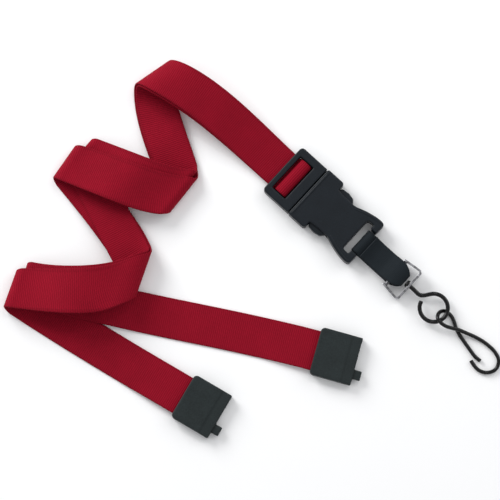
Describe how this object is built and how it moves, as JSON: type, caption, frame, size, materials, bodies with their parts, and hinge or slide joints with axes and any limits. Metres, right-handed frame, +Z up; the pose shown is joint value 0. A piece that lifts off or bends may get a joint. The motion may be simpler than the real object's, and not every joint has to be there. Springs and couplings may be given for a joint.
{
  "type": "lanyard",
  "caption": "Neck lanyard of flat red webbing laid in folds, with a side-release buckle, a short black webbing loop, a swivel spring hook and a two-part breakaway.",
  "frame": {"origin": "on the table, under the middle of the laid-out lanyard's bounding box", "axes": "+Z up off the table it lies on; +X to the right, towards the hook; +Y away from the two loose ends, towards the upper fold"},
  "size_m": [0.2326, 0.1784, 0.0135],
  "materials": {
    "red_webbing": "close ribbed weave with a soft satin sheen",
    "black_webbing": "ribbed weave, dull",
    "buckle_plastic": "satin moulded black plastic",
    "end_plastic": "satin charcoal plastic",
    "bracket_steel": "bright plated strip steel",
    "hook_steel": "dark oxide wire with a soft shine"
  },
  "bodies": {
    "neck_loop": {"strap_outer": "red_webbing", "strap_inner": "red_webbing", "buckle_plug": "buckle_plastic", "end_a_base": "end_plastic", "end_a_cover": "end_plastic", "end_b_base": "end_plastic", "end_b_cover": "end_plastic"},
    "left_prong": {"prong_left": "buckle_plastic"},
    "right_prong": {"prong_right": "buckle_plastic"},
    "key_end": {"buckle_receiver": "buckle_plastic"},
    "short_loop": {"short_web": "black_webbing"},
    "hook_bracket": {"bracket": "bracket_steel"},
    "swivel": {"swivel_ring": "hook_steel"},
    "hook": {"hook_frame": "hook_steel"},
    "gate": {"hook_gate": "hook_steel"}
  },
  "joints": [
    {"name": "buckle_release", "type": "slide", "parent": "neck_loop", "child": "key_end", "axis": [0.7361, -0.6769, 0], "range_m": [0, 0.024], "deforming": ["prong_left", "prong_right"]},
    {"name": "prong_left_squeeze", "type": "hinge", "parent": "neck_loop", "child": "left_prong", "pos_m": [0.03273, 0.03293, 0.0035], "axis": [0, 0, -1], "range_deg": [0, 5], "stiffness_Nm_per_rad": 0.5},
    {"name": "prong_right_squeeze", "type": "hinge", "parent": "neck_loop", "child": "right_prong", "pos_m": [0.02055, 0.01968, 0.0035], "axis": [0, 0, 1], "range_deg": [0, 5], "stiffness_Nm_per_rad": 0.5},
    {"name": "short_web_swing", "type": "hinge", "parent": "key_end", "child": "short_loop", "pos_m": [0.05249, 0.00226, 0.0035], "axis": [0.6769, 0.7361, 0], "range_deg": [-60, 60]},
    {"name": "bracket_pivot", "type": "hinge", "parent": "short_loop", "child": "hook_bracket", "pos_m": [0.06745, -0.0119, 0.0036], "axis": [0.6717, 0.7276, 0.1392], "range_deg": [-40, 40]},
    {"name": "swivel_spin", "type": "hinge", "parent": "hook_bracket", "child": "swivel", "pos_m": [0.07385, -0.01779, 0.00348], "axis": [0.736, -0.6768, -0.014], "continuous": true},
    {"name": "hook_swing", "type": "hinge", "parent": "swivel", "child": "hook", "pos_m": [0.08997, -0.03261, 0.00318], "axis": [0.6769, 0.7361, 0], "range_deg": [-22, 16]},
    {"name": "gate_press", "type": "hinge", "parent": "hook", "child": "gate", "pos_m": [0.09521, -0.03607, 0.0009], "axis": [0, 0, 1], "range_deg": [0, 9], "stiffness_Nm_per_rad": 0.02}
  ]
}
